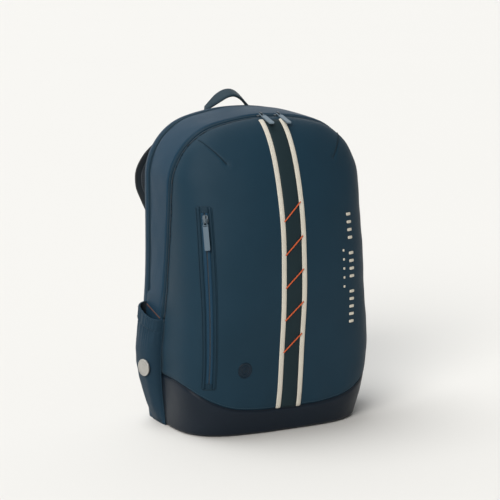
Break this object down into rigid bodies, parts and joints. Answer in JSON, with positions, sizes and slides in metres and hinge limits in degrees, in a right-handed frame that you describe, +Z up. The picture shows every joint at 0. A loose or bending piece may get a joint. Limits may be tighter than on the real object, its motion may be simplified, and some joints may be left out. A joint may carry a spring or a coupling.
{
  "type": "racket backpack",
  "caption": "Tall domed sports backpack with a zip-open front, vertical front pocket, rear zip compartment, side pockets, carry handle and padded shoulder straps.",
  "frame": {"origin": "middle of the base where it stands on the ground, under the main compartment", "axes": "+Z up, -Y towards the front with the long webbing stripes, +X towards the viewer's right when the front is looked at"},
  "size_m": [0.3647, 0.2833, 0.4993],
  "materials": {
    "coated_fabric": "matt coated twill, deep slate blue",
    "pocket_fabric": "soft matt fabric, slate blue",
    "base_leather": "smooth faux leather, dark navy",
    "stiffener": "thin sheet",
    "lining": "thin grey lining over foam",
    "back_fabric": "black woven back panel",
    "air_mesh": "black spacer mesh over foam",
    "black_webbing": "black woven webbing",
    "handle_webbing": "dark navy webbing",
    "plastic": "black acetal",
    "zip_tape": "dark woven zip tape",
    "zip_coil": "black nylon coil",
    "slider_metal": "dark satin",
    "pull_metal": "satin blue-grey",
    "cream_webbing": "cream herringbone webbing",
    "stripe_fabric": "black-green fabric",
    "orange_thread": "burnt orange thread",
    "welt_fabric": "coated fabric welt",
    "emblem_patch": "debossed patch, tone on tone",
    "badge_metal": "satin silver"
  },
  "bodies": {
    "shell": {"bottom_panel": "base_leather", "base_board": "stiffener", "front_base_panel": "base_leather", "front_lower_panel": "coated_fabric", "side_panel_left": "coated_fabric", "side_panel_right": "coated_fabric", "top_panel": "coated_fabric", "rear_boxing": "coated_fabric", "back_panel": "back_fabric", "compartment_divider": "lining", "front_zip_tape_body": "zip_tape", "front_zip_coil_body": "zip_coil", "rear_zip_tapes": "zip_tape", "rear_zip_coil": "zip_coil", "side_pocket_left": "pocket_fabric", "side_pocket_right": "pocket_fabric", "pocket_hem_left": "pocket_fabric", "pocket_hem_right": "pocket_fabric", "pocket_badge": "badge_metal", "front_webbings_lower": "cream_webbing", "stripe_lower": "stripe_fabric", "cross_stitch_lower": "orange_thread", "pocket_welt_lower": "welt_fabric", "pocket_zip_tape_lower": "zip_tape", "pocket_zip_coil_lower": "zip_coil", "emblem": "emblem_patch", "back_pad_left": "air_mesh", "back_pad_right": "air_mesh", "lumbar_pad": "air_mesh", "strap_yoke": "back_fabric", "anchor_tabs": "black_webbing", "lower_webbing_left": "black_webbing", "lower_webbing_right": "black_webbing"},
    "front_flap": {"front_panel": "coated_fabric", "front_zip_tape_flap": "zip_tape", "front_zip_coil_flap": "zip_coil", "front_webbings_upper": "cream_webbing", "stripe_upper": "stripe_fabric", "cross_stitches_upper": "orange_thread", "pocket_welt_upper": "welt_fabric", "pocket_zip_tape_upper": "zip_tape", "pocket_zip_coil_upper": "zip_coil"},
    "slider_left": {"zip_slider_left": "slider_metal"},
    "slider_right": {"zip_slider_right": "slider_metal"},
    "pull_left": {"zip_pull_left": "pull_metal"},
    "pull_right": {"zip_pull_right": "pull_metal"},
    "pocket_slider_body": {"pocket_slider": "slider_metal"},
    "pocket_pull_body": {"pocket_pull": "pull_metal"},
    "rear_slider_body": {"rear_zip_slider": "slider_metal"},
    "rear_pull_body": {"rear_zip_pull": "pull_metal"},
    "handle": {"grab_handle": "handle_webbing"},
    "strap_left": {"shoulder_strap_left": "air_mesh", "strap_webbing_left": "black_webbing"},
    "strap_right": {"shoulder_strap_right": "air_mesh", "strap_webbing_right": "black_webbing"},
    "lock_left": {"ladder_lock_left": "plastic", "webbing_tail_left": "black_webbing"},
    "lock_right": {"ladder_lock_right": "plastic", "webbing_tail_right": "black_webbing"}
  },
  "joints": [
    {"name": "front_flap_fold", "type": "hinge", "parent": "shell", "child": "front_flap", "pos_m": [0, -0.108, 0.1652], "axis": [1, 0, 0], "range_deg": [0, 50]},
    {"name": "front_zip_slide_left", "type": "hinge", "parent": "front_flap", "child": "slider_left", "pos_m": [0, 0.01739, 0.15107], "axis": [0, -0.9945, -0.1044], "range_deg": [0, 12]},
    {"name": "front_pull_swing_left", "type": "hinge", "parent": "slider_left", "child": "pull_left", "pos_m": [-0.00831, -0.01613, 0.47026], "axis": [-0.9997, 0.0027, -0.0262], "range_deg": [0, 150]},
    {"name": "front_zip_slide_right", "type": "hinge", "parent": "front_flap", "child": "slider_right", "pos_m": [0, 0.01739, 0.15107], "axis": [0, 0.9945, 0.1044], "range_deg": [0, 12]},
    {"name": "front_pull_swing_right", "type": "hinge", "parent": "slider_right", "child": "pull_right", "pos_m": [0.02049, -0.01607, 0.46971], "axis": [-0.9979, -0.0068, 0.0645], "range_deg": [0, 150]},
    {"name": "pocket_zip_slide", "type": "hinge", "parent": "front_flap", "child": "pocket_slider_body", "pos_m": [-0.127, 0.91835, 0.14328], "axis": [1, 0, 0], "range_deg": [0, 7.87]},
    {"name": "pocket_pull_swing", "type": "hinge", "parent": "pocket_slider_body", "child": "pocket_pull_body", "pos_m": [-0.12968, -0.07687, 0.32865], "axis": [-0.7873, 0.6053, -0.1177], "range_deg": [0, 150]},
    {"name": "rear_zip_slide", "type": "slide", "parent": "shell", "child": "rear_slider_body", "axis": [0, 0, 1], "range_m": [-0.05, 0.06]},
    {"name": "rear_pull_swing", "type": "hinge", "parent": "rear_slider_body", "child": "rear_pull_body", "pos_m": [0.15469, 0.071, 0.3], "axis": [0, -1, 0], "range_deg": [0, 150]},
    {"name": "handle_fold", "type": "hinge", "parent": "shell", "child": "handle", "pos_m": [0, 0.106, 0.4652], "axis": [1, 0, 0], "range_deg": [-60, 30], "stiffness_Nm_per_rad": 0.08},
    {"name": "strap_swing_left", "type": "hinge", "parent": "shell", "child": "strap_left", "pos_m": [-0.062, 0.111, 0.438], "axis": [1, 0, 0], "range_deg": [0, 18]},
    {"name": "lock_tilt_left", "type": "hinge", "parent": "strap_left", "child": "lock_left", "pos_m": [-0.1, 0.1272, 0.1682], "axis": [1, 0, 0], "range_deg": [0, 35]},
    {"name": "strap_swing_right", "type": "hinge", "parent": "shell", "child": "strap_right", "pos_m": [0.062, 0.111, 0.438], "axis": [1, 0, 0], "range_deg": [0, 18]},
    {"name": "lock_tilt_right", "type": "hinge", "parent": "strap_right", "child": "lock_right", "pos_m": [0.1, 0.1272, 0.1682], "axis": [1, 0, 0], "range_deg": [0, 35]}
  ]
}
